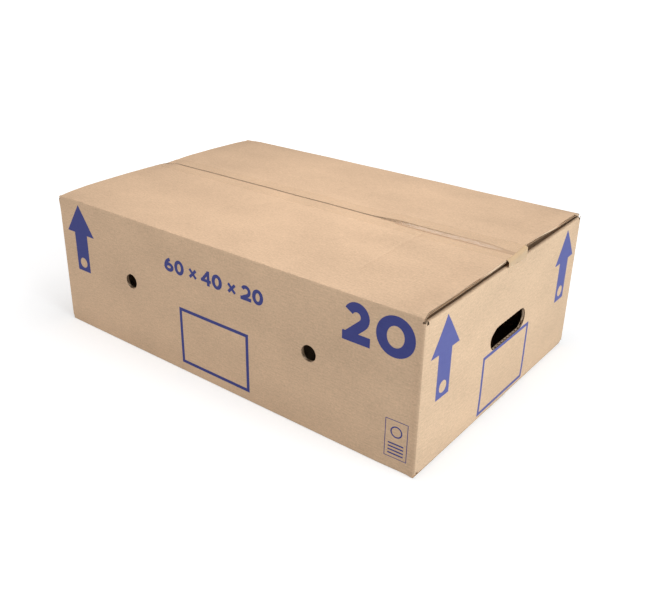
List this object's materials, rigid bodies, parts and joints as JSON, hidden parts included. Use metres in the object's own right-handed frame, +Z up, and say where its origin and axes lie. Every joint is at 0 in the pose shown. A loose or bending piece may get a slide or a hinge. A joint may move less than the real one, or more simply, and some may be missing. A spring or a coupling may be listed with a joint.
{
  "type": "ventilated produce box",
  "caption": "Closed and taped corrugated carton with a hand hole in each end, round vent holes in its long sides and plain blue print.",
  "frame": {"origin": "middle of the base, on the floor", "axes": "+X along the length to the right end panel, +Y from the front long panel to the back one, +Z up"},
  "size_m": [0.6004, 0.3942, 0.2],
  "materials": {
    "board": "matte brown kraft liner",
    "tape": "clear glossy film, slightly yellow",
    "ink": "matte blue ink, a little mottled"
  },
  "bodies": {
    "root": {"carton": "board", "top_tape": "tape", "bottom_tape": "tape", "front_print": "ink", "back_print": "ink", "right_print": "ink", "left_print": "ink"}
  },
  "joints": []
}
